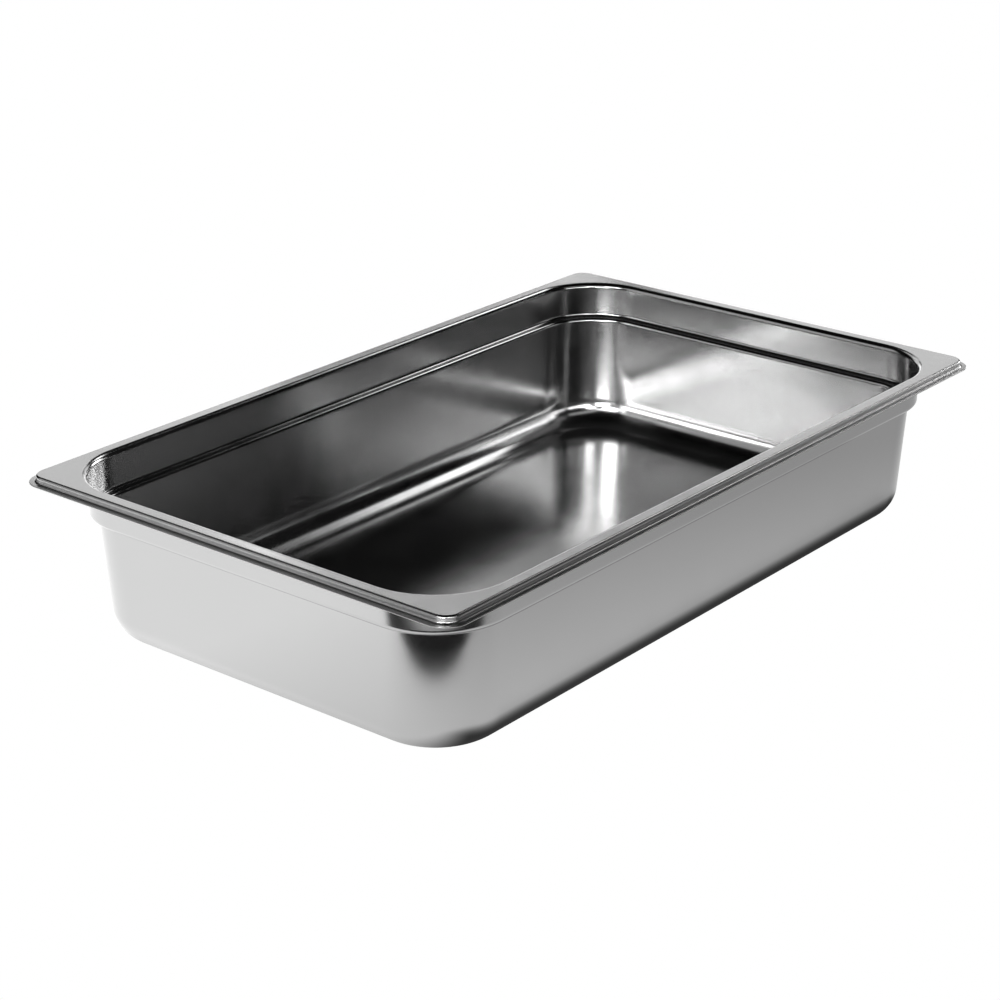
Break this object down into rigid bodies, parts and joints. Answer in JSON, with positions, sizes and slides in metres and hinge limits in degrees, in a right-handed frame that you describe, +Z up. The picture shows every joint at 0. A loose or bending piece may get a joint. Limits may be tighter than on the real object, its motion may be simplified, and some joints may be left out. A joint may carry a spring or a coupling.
{
  "type": "deli food pan",
  "caption": "Full-size deep-drawn stainless steel food pan with a flat flanged rim, a stacking shoulder, near-upright walls and a flat floor with large radii.",
  "frame": {"origin": "centre of the floor's underside", "axes": "+X along the long sides, +Y along the short sides, +Z up from the floor to the rim"},
  "size_m": [0.53, 0.325, 0.102],
  "materials": {
    "stainless_steel": "satin drawn stainless steel"
  },
  "bodies": {
    "root": {"pan": "stainless_steel"}
  },
  "joints": []
}
